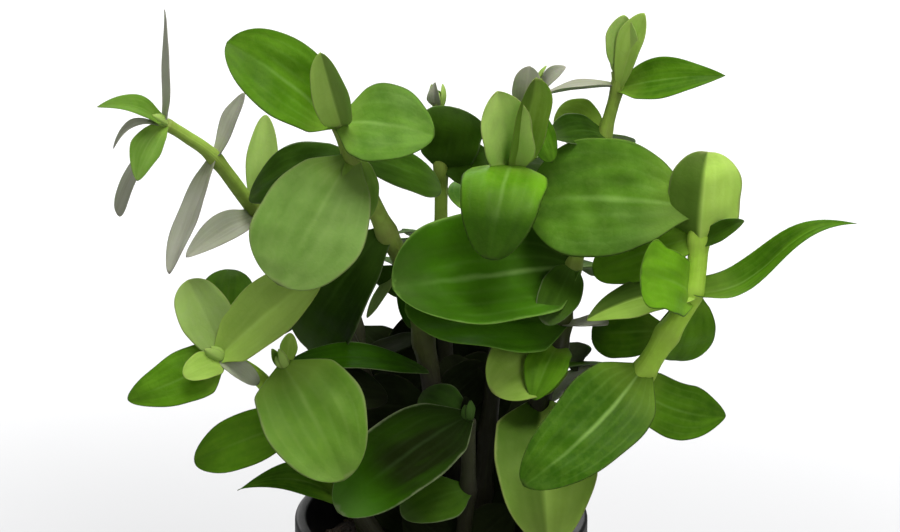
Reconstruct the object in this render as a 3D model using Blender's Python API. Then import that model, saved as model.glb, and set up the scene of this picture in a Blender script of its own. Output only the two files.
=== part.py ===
"""Potted bacopa: leafy stems rooted in the soil of a small black pot.

Lengths in the tables are millimetres. The origin is the centre of the pot's underside, +Z is up,
and the plant's front looks along -Y.
"""

import math
from typing import NamedTuple

import bpy
import numpy as np
from mathutils import Vector

MM = 0.001

POT_HEIGHT = 50.0
POT_RIM_RADIUS = 25.0
POT_BASE_RADIUS = 18.0
POT_WALL = 1.2
POT_FLOOR = 1.6
LIP_HEIGHT = 5.0
LIP_DEPTH = 0.8
EDGE_CHAMFER = 0.5
DRAIN_RADIUS = 2.0
DRAIN_RING_RADIUS = 11.0
DRAIN_COUNT = 4
DRILL_OVERSHOOT = 1.0

SOIL_EDGE_HEIGHT = 43.0
SOIL_CROWN = 1.4
SOIL_RINGS = (1.0, 0.85, 0.5, 0.0)
ROOT_HEIGHT = 36.0

GAP = 0.3
LEAF_THICKNESS = 0.9
LEAF_SEAT = 0.6  # from the stem's surface to a leaf's base
YOUNG_ROOT = 0.8  # how far a young leaf's base lies down inside its stem

# The leaf's outline: shares of its half width or length, and how fast it swells and narrows.
BASE_SHARE = 0.34
TIP_SHARE = 0.1
WIDEST_AT = 0.52
SWELL_POWER = 0.9
ROUND_POWER = 2.4
SHARP_POWER = 1.5

TURNED_SIDES = 40
STEM_SIDES = 8
STEM_STEP = 5.5
CREASE_ANGLE = math.radians(40)
LEAF_ROWS = (0.0, 0.1, 0.27, 0.45, 0.63, 0.79, 0.92, 1.0)
LEAF_COLUMNS = (-1.0, -0.5, 0.0, 0.5, 1.0)

LEAF_GREEN = (0.09, 0.22, 0.025, 1.0)
STEM_GREEN = (0.16, 0.22, 0.035, 1.0)
POT_BLACK = (0.006, 0.006, 0.007, 1.0)
SOIL_BROWN = (0.028, 0.018, 0.011, 1.0)
LEAF_ROUGHNESS = 0.45
STEM_ROUGHNESS = 0.5
POT_ROUGHNESS = 0.4
SOIL_ROUGHNESS = 0.95


class Leaf(NamedTuple):
    at: int  # the stem point that carries it
    tip: tuple
    width: float
    face: tuple  # where its upper side looks
    arch: float = 0.06  # rise of the midrib, as a share of the length
    cup: float = 0.15  # rise of the margins, as a share of the half width
    point: float = 0.3  # 0 is a round tip and 1 a sharp one
    sway: float = 0.0  # sideways bow of the midrib, as a share of the length
    young: bool = False  # grown together with its stem


class Stem(NamedTuple):
    root_radius: float
    tip_radius: float
    points: tuple
    leaves: tuple


PLANT = {
    "far_left": Stem(
        1.8,
        1.0,
        (
            (-9, 8, ROOT_HEIGHT),
            (-9.5, 9, 46),
            (-12, 12, 66),
            (-18.5, 14, 82),
            (-24.5, 12, 91.5),
            (-31, 8, 101.5),
            (-37.5, 4, 112.5),
            (-42, 2, 117),
            (-45.5, 0, 120),
        ),
        (
            Leaf(8, (-44.5, 2, 139), 5, (-1, -0.5, 0), 0.02, 0.1, 0.8),
            Leaf(8, (-56, -5, 124.5), 5, (0, -0.3, 1), 0.2, -0.1, 0.8, young=True),
            Leaf(8, (-49.3, -7, 112), 4.4, (0.1, -0.9, 0.3), 0.05, 0.2, 0.6, 0.1, young=True),
            Leaf(8, (-54, 3, 103), 4, (-0.9, -0.4, 0.2), 0.04, 0.1, 0.2, young=True),
            Leaf(6, (-32.5, 7, 123), 4.5, (-0.9, -0.4, 0.3), -0.02, 0.1, 0.5, young=True),
            Leaf(6, (-45, -4, 95), 6, (-0.9, -0.5, 0.2), -0.01, 0.1, 0.5),
            Leaf(5, (-29.5, 14, 117), 5, (0, -0.9, 0.3), 0.04, 0.2, 0.5),
            Leaf(5, (-42, -6, 98.7), 4.6, (0.1, -0.6, 0.8), 0.09, 0.1, 0.5),
        ),
    ),
    "upper_left": Stem(
        2.1,
        1.3,
        (
            (-4, 2, ROOT_HEIGHT),
            (-3.5, 2, 46),
            (-1.5, 3, 68),
            (-3, 2, 81),
            (-6, 0, 94.5),
            (-9, -1.5, 101.5),
            (-14.5, -4, 115),
            (-16.5, -5, 121.5),
        ),
        (
            Leaf(7, (-34.5, -6, 135.6), 12.6, (0.1, -0.8, 0.6), 0.06, 0.12, 0.1),
            Leaf(7, (-17.8, -13, 136.8), 6.5, (-0.4, -0.85, 0.2), 0.05, 0.3, 0.5, young=True),
            Leaf(7, (-1, -10, 121), 14, (0, -0.75, 0.65), 0.06, 0.1, 0.1),
            Leaf(6, (-32, 6, 105.5), 11, (0, -0.6, 0.8), 0.08, 0.1, 0.2),
            Leaf(6, (-27, -20, 99), 19, (0, -0.9, 0.4), 0.05, 0.08, 0.1),
            Leaf(6, (0, 4, 107.3), 10, (0, -0.5, 0.8), 0.04, 0.1, 0.2),
            Leaf(5, (-22.5, 8, 79), 12, (-0.5, -0.8, 0.1), 0.06, 0.1, 0.2),
            Leaf(4, (-12.5, 2, 85), 3, (-0.9, -0.4, 0), 0.03, 0.1, 0.5, young=True),
        ),
    ),
    "centre_back": Stem(
        1.6,
        1.1,
        (
            (3, 11, ROOT_HEIGHT),
            (2.5, 12, 46),
            (1, 14, 65),
            (0.5, 16, 83),
            (0, 16, 94.5),
            (0, 16, 103),
            (0, 15.5, 107.5),
            (-0.5, 18, 117.5),
        ),
        (
            Leaf(6, (3, 13.5, 118.3), 9.5, (0, -0.8, 0.6), 0.08, 0.1, 0.0),
            Leaf(7, (-1, 17, 121.5), 2.5, (0, -0.9, 0.3), 0.05, 0.2, 0.5, young=True),
            Leaf(4, (-7.5, 12, 96.5), 4, (0, 0.2, 1), 0.08, 0.1, 0.5, young=True),
        ),
    ),
    "centre": Stem(
        1.8,
        1.0,
        (
            (6, 0, ROOT_HEIGHT),
            (6, 0, 46),
            (7, 1, 54),
            (8, 2, 64.5),
            (9.5, 7, 78),
            (11, 9, 93.5),
            (12, 4, 111.5),
            (14, 5.5, 121),
            (16.5, 5.5, 125),
        ),
        (
            Leaf(6, (7, -2.5, 126), 6.2, (0.2, -0.9, 0.3), 0.02, 0.05, 0.1),
            Leaf(6, (17.2, -2.5, 130), 6.3, (0.3, -0.9, 0.3), 0.02, 0.05, 0.3),
            Leaf(6, (8.5, -16, 102.5), 13.5, (0, -0.5, 0.8), 0.1, 0.1, 0.1),
            Leaf(6, (18, 28, 100), 13, (0, 0.4, 0.9), 0.1, 0.1, 0.1),
            Leaf(7, (12, 6.5, 127.5), 3, (0, -0.9, 0.3), 0.05, 0.2, 0.5, young=True),
            Leaf(8, (20.5, 2, 129), 3, (0, -0.7, 0.7), 0.1, 0.2, 0.5, young=True),
        ),
    ),
    "right_back": Stem(
        1.9,
        1.0,
        (
            (12, 3, ROOT_HEIGHT),
            (12.5, 2, 46),
            (16.5, -1, 70),
            (19, 0, 76.5),
            (19.8, 1, 80),
            (20.5, 2, 84),
            (22, 3, 93.5),
            (26, 10, 105),
            (27.5, 12, 114),
            (29.5, 12, 122.5),
            (29.5, 12, 125.5),
        ),
        (
            Leaf(10, (29.5, 10, 135), 4.5, (-0.4, -0.9, 0.2), 0.03, 0.2, 0.4, young=True),
            Leaf(9, (34, 9, 136), 3.5, (-0.7, -0.6, 0.2), 0.05, 0.2, 0.5, young=True),
            Leaf(9, (47, 6, 126.7), 8, (0, -0.8, 0.6), 0.05, 0.15, 0.9),
            Leaf(9, (17.5, 14, 122), 4.5, (0, 0.05, 1), 0.04, 0.1, 0.5, young=True),
            Leaf(8, (19.5, 16, 117), 8, (0, -0.9, 0.3), 0.05, 0.1, 0.1),
            Leaf(8, (18.5, 4, 117), 6, (0, -0.6, 0.8), 0.05, 0.1, 0.2, young=True),
            Leaf(6, (-8, -10, 94.8), 20, (0, -0.65, 0.76), 0.05, 0.15, 0.1),
            Leaf(5, (-6, -6, 89.3), 17, (0, -0.45, 0.9), 0.04, 0.15, 0.1),
            Leaf(4, (10, -8, 75.5), 12, (-0.1, -0.8, 0.5), 0.05, 0.1, 0.2),
            Leaf(4, (24.5, 10, 76), 5, (0, -0.9, 0.3), 0.05, 0.1, 0.1, young=True),
            Leaf(5, (28.5, 10, 83), 4, (0, 0.34, 0.94), 0.03, 0.1, 0.5, young=True),
            Leaf(2, (18, -22, 53.5), 16.5, (0, -0.8, 0.6), 0.06, 0.1, 0.2),
            Leaf(2, (28, 8, 74), 4, (0, 0.34, 0.94), 0.04, 0.1, 0.5, young=True),
        ),
    ),
    "right": Stem(
        2.1,
        1.4,
        (
            (14, -4, ROOT_HEIGHT),
            (14.5, -4, 46),
            (20.5, -5, 60.5),
            (28.5, -7, 71),
            (31.7, -7.7, 76),
            (33.5, -8, 79),
            (37.5, -7, 85.5),
            (41.5, -6, 92.5),
            (42.5, -5, 101.5),
            (42.3, -4.5, 107),
        ),
        (
            Leaf(9, (14.6, 4.5, 105.2), 20, (0, -0.85, 0.5), 0.05, 0.08, 0.0),
            Leaf(8, (43.5, 3, 114), 11.5, (-0.4, -0.8, 0.3), 0.04, 0.2, 0.1),
            Leaf(8, (49.5, -12, 107), 6, (-0.2, -0.8, 0.5), 0.05, 0.15, 0.6, young=True),
            Leaf(7, (32.5, -16, 101.5), 8, (0.2, -0.7, 0.7), 0.08, 0.1, 0.0),
            Leaf(8, (23.5, 0.5, 92.5), 9, (0, -0.8, 0.6), 0.05, 0.1, 0.2),
            Leaf(7, (69, 0, 102.5), 6, (-0.1, -0.5, 0.85), 0.02, 0.35, 1.0),
            Leaf(7, (24, -9, 88.7), 8, (0, -0.3, 0.95), 0.06, 0.1, 0.5),
            Leaf(6, (25.5, 6, 79), 9, (0, -0.9, 0.4), 0.05, 0.1, 0.1),
            Leaf(7, (39.7, 4, 76.5), 10.5, (0.1, -0.9, 0.3), 0.05, 0.1, 0.1),
            Leaf(5, (13.5, -24, 65.5), 16, (0, -0.75, 0.65), 0.06, 0.15, 0.2, -0.1),
            Leaf(4, (48, -2, 68.7), 10, (0, -0.9, 0.4), 0.02, 0.1, 0.1),
        ),
    ),
    "lower_left": Stem(
        1.7,
        1.2,
        (
            (-12, -2, ROOT_HEIGHT),
            (-12.5, -2, 46),
            (-15.5, -1, 55),
            (-23, -3, 66.5),
            (-30.5, -5, 77),
            (-36.5, -7, 81.5),
        ),
        (
            Leaf(5, (-42, -4, 94), 8.5, (0, -0.9, 0.3), 0.03, 0.15, 0.0),
            Leaf(5, (-19.5, -10, 98), 9, (0, -0.8, 0.6), 0.05, 0.12, 0.2),
            Leaf(5, (-52, -10, 75), 9.3, (0, -0.8, 0.6), 0.1, 0.15, 0.4),
            Leaf(5, (-35.5, 8, 91.5), 10, (0, -0.9, 0.4), 0.05, 0.1, 0.1),
        ),
    ),
    "front_left": Stem(
        1.7,
        1.1,
        (
            (-8, -9, ROOT_HEIGHT),
            (-9, -9.5, 46),
            (-15, -10, 57),
            (-20, -10, 67),
            (-22, -9.7, 71.5),
            (-24, -9, 76),
            (-26, -9, 80.5),
        ),
        (
            Leaf(6, (-15.7, -24, 66.5), 16, (0.1, -0.8, 0.6), 0.06, 0.1, 0.1),
            Leaf(4, (-41.5, -6, 62), 9, (0, -0.8, 0.6), 0.05, 0.12, 0.3),
            Leaf(6, (-2, 0, 76), 8, (0, -0.2, 1), 0.06, 0.1, 0.4),
            Leaf(6, (-25, -5, 85), 3, (0, -0.8, 0.4), 0.1, 0.1, 0.5, young=True),
            Leaf(2, (-30, -16, 65), 6, (0.2, -0.6, 0.8), 0.1, 0.15, 0.9),
        ),
    ),
    "front": Stem(
        1.6,
        1.1,
        (
            (3, -7, ROOT_HEIGHT),
            (3.5, -7, 46),
            (4.5, -8, 58),
            (4.5, -8, 71),
        ),
        (
            Leaf(3, (-17, -22, 60), 13.5, (0, -0.7, 0.7), 0.06, 0.12, 0.1),
            Leaf(3, (-3, -3, 74), 6, (0, -0.8, 0.6), 0.05, 0.1, 0.3, young=True),
            Leaf(2, (-6.5, -17, 57), 9, (0, -0.7, 0.7), 0.06, 0.1, 0.2),
        ),
    ),
    "back": Stem(
        1.7,
        1.1,
        (
            (2, 17, ROOT_HEIGHT),
            (2, 18, 46),
            (3.5, 24, 57.5),
            (5, 30, 70),
            (6, 34, 82),
            (6.5, 36, 91.5),
        ),
        (
            Leaf(4, (4, 58, 72), 14, (0, 0.5, 0.85), 0.06, 0.1, 0.1),
            Leaf(5, (14, 54, 88), 11, (0.1, 0.4, 0.9), 0.06, 0.1, 0.2),
            Leaf(5, (2, 48, 98), 9, (0, -0.5, 0.8), 0.05, 0.1, 0.2),
        ),
    ),
    "back_left": Stem(
        1.7,
        1.1,
        (
            (-7, 14, ROOT_HEIGHT),
            (-7.5, 15, 46),
            (-12, 20, 60),
            (-15, 25, 74),
            (-17, 28, 88),
        ),
        (
            Leaf(4, (-28, 41, 96.5), 10, (0, 0.3, 0.95), 0.05, 0.1, 0.2),
            Leaf(4, (-3, 44, 82), 13, (0, 0.4, 0.9), 0.06, 0.1, 0.1),
            Leaf(3, (-30, 40, 72), 12, (-0.2, 0.3, 0.95), 0.06, 0.1, 0.1),
        ),
    ),
}


def clear_scene():
    for thing in list(bpy.data.objects):
        bpy.data.objects.remove(thing, do_unlink=True)


def make_material(name, colour, roughness):
    material = bpy.data.materials.new(name)
    material.use_nodes = True
    shader = material.node_tree.nodes["Principled BSDF"]
    shader.inputs["Base Color"].default_value = colour
    shader.inputs["Roughness"].default_value = roughness
    shader.inputs["Metallic"].default_value = 0.0
    return material


def add_object(name, points, faces, material=None):
    """A mesh object from points in millimetres, shaded smooth."""
    mesh = bpy.data.meshes.new(name)
    mesh.from_pydata([Vector(p) * MM for p in points], [], faces)
    mesh.shade_smooth()
    mesh.set_sharp_from_angle(angle=CREASE_ANGLE)
    thing = bpy.data.objects.new(name, mesh)
    bpy.context.scene.collection.objects.link(thing)
    if material:
        mesh.materials.append(material)
    return thing


def hide_tool(tool):
    tool.hide_render = True
    tool.display_type = "WIRE"


def combine(thing, tool, operation):
    hide_tool(tool)
    modifier = thing.modifiers.new(tool.name, "BOOLEAN")
    modifier.operation = operation
    modifier.solver = "EXACT"
    modifier.object = tool


def turned(name, profile, material=None, centre=(0, 0)):
    """Turns (radius, height) pairs that start and end on the axis into a closed body."""
    points = []
    rings = []
    for radius, height in profile:
        if radius == 0:
            rings.append([len(points)] * TURNED_SIDES)
            points.append((centre[0], centre[1], height))
            continue
        rings.append(list(range(len(points), len(points) + TURNED_SIDES)))
        for i in range(TURNED_SIDES):
            angle = 2 * math.pi * i / TURNED_SIDES
            x = centre[0] + radius * math.cos(angle)
            y = centre[1] + radius * math.sin(angle)
            points.append((x, y, height))
    faces = []
    for low, high in zip(rings, rings[1:]):
        for i in range(TURNED_SIDES):
            j = (i + 1) % TURNED_SIDES
            corners = list(dict.fromkeys((low[i], low[j], high[j], high[i])))
            faces.append(corners)
    return add_object(name, points, faces, material)


def pot_outer_radius(height):
    return POT_BASE_RADIUS + (POT_RIM_RADIUS - LIP_DEPTH - POT_BASE_RADIUS) * height / POT_HEIGHT


def pot_inner_radius(height):
    return pot_outer_radius(height) - POT_WALL


def make_pot(material):
    lip_bottom = POT_HEIGHT - LIP_HEIGHT
    profile = (
        (0, 0),
        (POT_BASE_RADIUS - EDGE_CHAMFER, 0),
        (POT_BASE_RADIUS, EDGE_CHAMFER),
        (pot_outer_radius(lip_bottom), lip_bottom),
        (POT_RIM_RADIUS, lip_bottom + EDGE_CHAMFER),
        (POT_RIM_RADIUS, POT_HEIGHT - EDGE_CHAMFER),
        (POT_RIM_RADIUS - EDGE_CHAMFER, POT_HEIGHT),
        (pot_inner_radius(POT_HEIGHT), POT_HEIGHT),
        (pot_inner_radius(POT_FLOOR), POT_FLOOR),
        (0, POT_FLOOR),
    )
    pot = turned("pot", profile, material)
    for i in range(DRAIN_COUNT):
        angle = math.pi / DRAIN_COUNT + 2 * math.pi * i / DRAIN_COUNT
        centre = (DRAIN_RING_RADIUS * math.cos(angle), DRAIN_RING_RADIUS * math.sin(angle))
        low = -DRILL_OVERSHOOT
        high = POT_FLOOR + DRILL_OVERSHOOT
        drill = ((0, low), (DRAIN_RADIUS, low), (DRAIN_RADIUS, high), (0, high))
        combine(pot, turned(f"drain_hole_{i + 1}", drill, centre=centre), "DIFFERENCE")


def make_soil(material):
    bottom = POT_FLOOR + GAP
    edge_radius = pot_inner_radius(SOIL_EDGE_HEIGHT) - GAP
    profile = [(0, bottom), (pot_inner_radius(bottom) - GAP, bottom)]
    for share in SOIL_RINGS:
        height = SOIL_EDGE_HEIGHT + SOIL_CROWN * (1 - share**2)
        profile.append((edge_radius * share, height))
    return turned("soil", profile, material)


def smooth_path(points, step):
    """Points about one step apart on a smooth curve through the given ones."""
    ends = [points[0], *points, points[-1]]
    path = [np.array(points[0], float)]
    for a, b, c, d in zip(ends, ends[1:], ends[2:], ends[3:]):
        a, b, c, d = (np.array(p, float) for p in (a, b, c, d))
        count = max(1, round(np.linalg.norm(c - b) / step))
        for i in range(1, count + 1):
            t = i / count
            bend = (c - a) * t + (2 * a - 5 * b + 4 * c - d) * t**2 + (3 * (b - c) + d - a) * t**3
            path.append(b + bend / 2)
    return path


def tube(name, path, radii, material=None):
    """A closed tube with flat ends along a path."""
    tangents = np.gradient(np.array(path), axis=0)
    side = Vector((1, 0, 0))
    points = []
    for centre, tangent, radius in zip(path, tangents, radii):
        along = Vector(tangent).normalized()
        side = (side - along * side.dot(along)).normalized()
        other = along.cross(side)
        for i in range(STEM_SIDES):
            angle = 2 * math.pi * i / STEM_SIDES
            spoke = side * math.cos(angle) + other * math.sin(angle)
            points.append(Vector(centre) + spoke * radius)
    start_cap = list(reversed(range(STEM_SIDES)))
    end_cap = list(range(len(points) - STEM_SIDES, len(points)))
    faces = [start_cap, end_cap]
    for ring in range(len(path) - 1):
        for i in range(STEM_SIDES):
            j = (i + 1) % STEM_SIDES
            low = ring * STEM_SIDES
            high = low + STEM_SIDES
            faces.append([low + i, low + j, high + j, high + i])
    return add_object(name, points, faces, material)


def stem_body(name, stem, material=None, grow=0.0):
    points = [stem.points[0][:2] + (stem.points[0][2] - grow,), *stem.points[1:]]
    path = smooth_path(points, STEM_STEP)
    radii = np.linspace(stem.root_radius, stem.tip_radius, len(path)) + grow
    return tube(name, path, radii, material)


def stem_at(stem, index):
    """A stem point, the stem's direction there and its radius."""
    point = Vector(stem.points[index])
    before = Vector(stem.points[index - 1])
    after = Vector(stem.points[min(index + 1, len(stem.points) - 1)])
    share = index / (len(stem.points) - 1)
    radius = stem.root_radius + (stem.tip_radius - stem.root_radius) * share
    return point, (after - before).normalized(), radius


def half_width_share(t, point):
    """The leaf's outline: half width along the midrib, as a share of its widest."""
    if t < WIDEST_AT:
        rise = math.sin(math.pi / 2 * t / WIDEST_AT) ** SWELL_POWER
        return BASE_SHARE + (1 - BASE_SHARE) * rise
    past = (t - WIDEST_AT) / (1 - WIDEST_AT)
    round_end = math.sqrt(max(0.0, 1 - past**ROUND_POWER))
    sharp_end = 1 - past**SHARP_POWER
    return max(TIP_SHARE, round_end * (1 - point) + sharp_end * point)


def make_leaf(name, stem, leaf, material=None):
    node, stem_along, radius = stem_at(stem, leaf.at)
    tip = Vector(leaf.tip)
    outward = tip - node
    outward -= stem_along * outward.dot(stem_along)
    if leaf.young:
        base = node - stem_along * YOUNG_ROOT
    else:
        base = node + outward.normalized() * (radius + LEAF_SEAT)
    length = (tip - base).length
    along = (tip - base).normalized()
    face = Vector(leaf.face)
    up = (face - along * face.dot(along)).normalized()
    side = along.cross(up)
    last_row = len(LEAF_ROWS) - 1
    top = {}
    bottom = {}
    points = []
    for row, t in enumerate(LEAF_ROWS):
        half = leaf.width / 2 * half_width_share(t, leaf.point)
        bow = length * 4 * t * (1 - t)
        middle = base + along * (length * t) + up * (leaf.arch * bow) + side * (leaf.sway * bow)
        for column, v in enumerate(LEAF_COLUMNS):
            spot = middle + side * (v * half) + up * (leaf.cup * half * v * v)
            top[row, column] = bottom[row, column] = len(points)
            if row in (0, last_row) or abs(v) == 1:
                points.append(spot)
                continue
            lift = up * (LEAF_THICKNESS / 2 * math.sqrt(1 - v * v))
            points.append(spot + lift)
            bottom[row, column] = len(points)
            points.append(spot - lift)
    faces = []
    for row in range(last_row):
        for column in range(len(LEAF_COLUMNS) - 1):
            ring = ((row, column), (row, column + 1), (row + 1, column + 1), (row + 1, column))
            faces.append([top[corner] for corner in ring])
            faces.append([bottom[corner] for corner in reversed(ring)])
    return add_object(name, points, faces, material)


def make_plant(soil, leaf_material, stem_material):
    for name, stem in PLANT.items():
        body = stem_body(f"stem_{name}", stem, stem_material)
        combine(soil, stem_body(f"hole_{name}", stem, grow=GAP), "DIFFERENCE")
        young = [leaf for leaf in stem.leaves if leaf.young]
        grown = [leaf for leaf in stem.leaves if not leaf.young]
        for number, leaf in enumerate(young, 1):
            combine(body, make_leaf(f"bud_{name}_{number}", stem, leaf), "UNION")
        for number, leaf in enumerate(grown, 1):
            make_leaf(f"leaf_{name}_{number}", stem, leaf, leaf_material)


def main():
    clear_scene()
    leaf_material = make_material("leaf", LEAF_GREEN, LEAF_ROUGHNESS)
    stem_material = make_material("stem", STEM_GREEN, STEM_ROUGHNESS)
    pot_material = make_material("pot", POT_BLACK, POT_ROUGHNESS)
    soil_material = make_material("soil", SOIL_BROWN, SOIL_ROUGHNESS)
    make_pot(pot_material)
    soil = make_soil(soil_material)
    make_plant(soil, leaf_material, stem_material)


main()
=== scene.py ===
import math
import random

import bpy
import numpy as np
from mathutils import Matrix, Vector


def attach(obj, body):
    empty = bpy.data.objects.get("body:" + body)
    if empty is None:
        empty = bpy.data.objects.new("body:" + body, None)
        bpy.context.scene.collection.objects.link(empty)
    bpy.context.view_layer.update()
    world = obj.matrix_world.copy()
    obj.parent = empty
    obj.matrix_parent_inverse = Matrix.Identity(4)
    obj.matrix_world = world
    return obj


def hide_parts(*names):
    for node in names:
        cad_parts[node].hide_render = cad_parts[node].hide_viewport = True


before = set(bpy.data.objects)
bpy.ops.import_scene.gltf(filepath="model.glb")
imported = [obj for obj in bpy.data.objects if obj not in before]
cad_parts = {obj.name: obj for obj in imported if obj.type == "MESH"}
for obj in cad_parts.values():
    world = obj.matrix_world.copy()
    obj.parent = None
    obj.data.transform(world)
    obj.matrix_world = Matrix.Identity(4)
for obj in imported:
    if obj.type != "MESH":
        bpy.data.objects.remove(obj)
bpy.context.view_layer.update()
mm = 0.001
print("frame loaded:", len(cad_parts), "nodes")


# Small helpers for shader nodes

class Wire:
    # a node's output, which plain formulas can use

    def __init__(self, tree, socket):
        self.tree, self.socket = tree, socket

    def __add__(self, other):
        return calc("ADD", self, other)

    def __sub__(self, other):
        return calc("SUBTRACT", self, other)

    def __mul__(self, other):
        return calc("MULTIPLY", self, other)


def put(socket, value):
    if isinstance(value, Wire):
        value.tree.links.new(value.socket, socket)
    elif socket.type == "RGBA" and len(value) == 3:
        socket.default_value = (*value, 1.0)
    else:
        socket.default_value = value


def node(tree, kind, values=(), out=0, **settings):
    made = tree.nodes.new("ShaderNode" + kind)
    for name, value in settings.items():
        setattr(made, name, value)
    for label, value in values.items() if isinstance(values, dict) else enumerate(values):
        put(made.inputs[label], value)
    return Wire(tree, made.outputs[out])


def treeOf(*values):
    return next(value.tree for value in values if isinstance(value, Wire))


def calc(operation, *values, clamp=False):
    return node(treeOf(*values), "Math", values, operation=operation, use_clamp=clamp)


def spread(value, low, high, toLow=0.0, toHigh=1.0):
    values = (value, low, high, toLow, toHigh)
    return node(value.tree, "MapRange", values, interpolation_type="SMOOTHSTEP")


def fade(value, low, high):
    return spread(value, low, high, 1.0, 0.0)


def blend(share, first, second, way="MIX"):
    values = {0: share, 6: first, 7: second}
    return node(treeOf(*values.values()), "Mix", values, 2, data_type="RGBA", blend_type=way)


def noise(spot, scale, detail=3.0, roughness=0.55):
    values = {"Vector": spot, "Scale": scale, "Detail": detail, "Roughness": roughness}
    return node(spot.tree, "TexNoise", values, "Fac")


def cells(spot, scale, feature):
    return node(spot.tree, "TexVoronoi", {"Vector": spot, "Scale": scale}, "Distance", feature=feature)


def mark(tree, name, out="Vector"):
    return node(tree, "Attribute", out=out, attribute_name=name)


def objectSpot(tree):
    return node(tree, "TexCoord", out="Object")


def split(vector):
    first = node(vector.tree, "SeparateXYZ", (vector,))
    return [Wire(vector.tree, socket) for socket in first.socket.node.outputs]


def newGroup(name, takes, draw):
    # takes gives each input's name and value, None for a vector; draw returns the outputs
    group = bpy.data.node_groups.new(name, "ShaderNodeTree")
    for label, value in takes.items():
        kind = "NodeSocketVector" if value is None else "NodeSocketFloat"
        socket = group.interface.new_socket(label, in_out="INPUT", socket_type=kind)
        if value is not None:
            socket.default_value = value
    inlet = group.nodes.new("NodeGroupInput")
    gives = draw(group, *(Wire(group, inlet.outputs[label]) for label in takes))
    for label in gives:
        group.interface.new_socket(label, in_out="OUTPUT", socket_type="NodeSocketFloat")
    outlet = group.nodes.new("NodeGroupOutput")
    for label, value in gives.items():
        put(outlet.inputs[label], value)
    return group


def useGroup(tree, group, values=()):
    first = node(tree, "Group", values, node_tree=group)
    return {socket.name: Wire(tree, socket) for socket in first.socket.node.outputs}


# Effects that several materials share

veinPlaces = (0.27, 0.52, 0.76)  # shares of a blade's half width


def drawVeins(group, spot, wander):
    # veins run from a blade's base to its tip, with a net of small ones between them
    across, along, _ = split(spot)
    coords = objectSpot(group)
    bent = calc("ABSOLUTE", (noise(coords, 260.0, 2.0) - 0.5) * wander + across)
    first, second, third = (fade(calc("ABSOLUTE", bent - share), 0.0, reach)
                            for share, reach in zip(veinPlaces, (0.07, 0.06, 0.05)))
    lines = calc("MAXIMUM", calc("MAXIMUM", first, second), third)
    patchy = spread(noise(coords, 130.0, 2.0), 0.3, 0.65, 0.25, 1.0)
    return {
        "Veins": lines * (patchy * spread(along, 0.55, 1.0, 1.0, 0.15)),
        "Midrib": fade(bent, 0.0, 0.085) * spread(along, 0.35, 0.95, 1.0, 0.1),
        "Net": fade(cells(coords, 640.0, "DISTANCE_TO_EDGE"), 0.0, 0.16),
    }


def drawMargin(group, spot, depth):
    # Rim is 1 on a blade's very edge, Tip is 1 at its end and Foot is 1 where it joins the stem
    across, along, _ = split(spot)
    ragged = noise(objectSpot(group), 420.0) * 0.09 + -0.045
    side = spread(calc("ABSOLUTE", across) + ragged, calc("SUBTRACT", 1.0, depth), 1.0)
    return {
        "Rim": calc("MAXIMUM", side, spread(along + ragged, 0.97, 1.0)),
        "Tip": spread(along + ragged, 0.72, 1.0),
        "Foot": fade(along, 0.02, 0.34),
    }


def drawMottle(group, broadScale, fineScale):
    # Broad is slow drift over a whole leaf, Fine is flecks and Skin is the height of its cells
    coords = objectSpot(group)
    return {
        "Broad": spread(noise(coords, broadScale, 2.0), 0.3, 0.7),
        "Fine": spread(noise(coords, fineScale, 4.0), 0.35, 0.7),
        "Skin": cells(coords, 3600.0, "SMOOTH_F1"),
    }


def drawGrime(group, patchScale):
    # Dust gathers in patches, Scuffs are fine rubbed lines and Specks are small grains
    coords = objectSpot(group)
    turns = {"Vector": coords, "Scale": (1.0, 1.0, 14.0), "Rotation": (0.2, 0.5, 0.0)}
    return {
        "Dust": spread(noise(coords, patchScale, 5.0, 0.65), 0.42, 0.75),
        "Scuffs": spread(noise(node(group, "Mapping", turns), 170.0, 4.0), 0.6, 0.72),
        "Specks": spread(noise(coords, 1900.0, 1.0), 0.66, 0.74),
    }


veinGroup = newGroup("bladeVeins", {"Place": None, "Wander": 0.05}, drawVeins)
marginGroup = newGroup("bladeMargin", {"Place": None, "Depth": 0.08}, drawMargin)
mottleGroup = newGroup("livingMottle", {"Broad Scale": 90.0, "Fine Scale": 700.0}, drawMottle)
grimeGroup = newGroup("pottingGrime", {"Patch Scale": 60.0}, drawGrime)
print("shared effects made")


# Materials

def newMaterial(name, settings):
    # settings are constant values for the shader's own sockets
    material = bpy.data.materials.new(name)
    material.use_nodes = True
    shader = material.node_tree.nodes["Principled BSDF"]
    for label, value in settings.items():
        shader.inputs[label].default_value = value
    return material, material.node_tree, shader


def setSurface(shader, shade, rough, height, bump):
    put(shader.inputs["Base Color"], shade)
    put(shader.inputs["Roughness"], rough)
    strength, depth = bump
    values = {"Strength": strength, "Distance": depth, "Height": height}
    put(shader.inputs["Normal"], node(shade.tree, "Bump", values))


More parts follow.
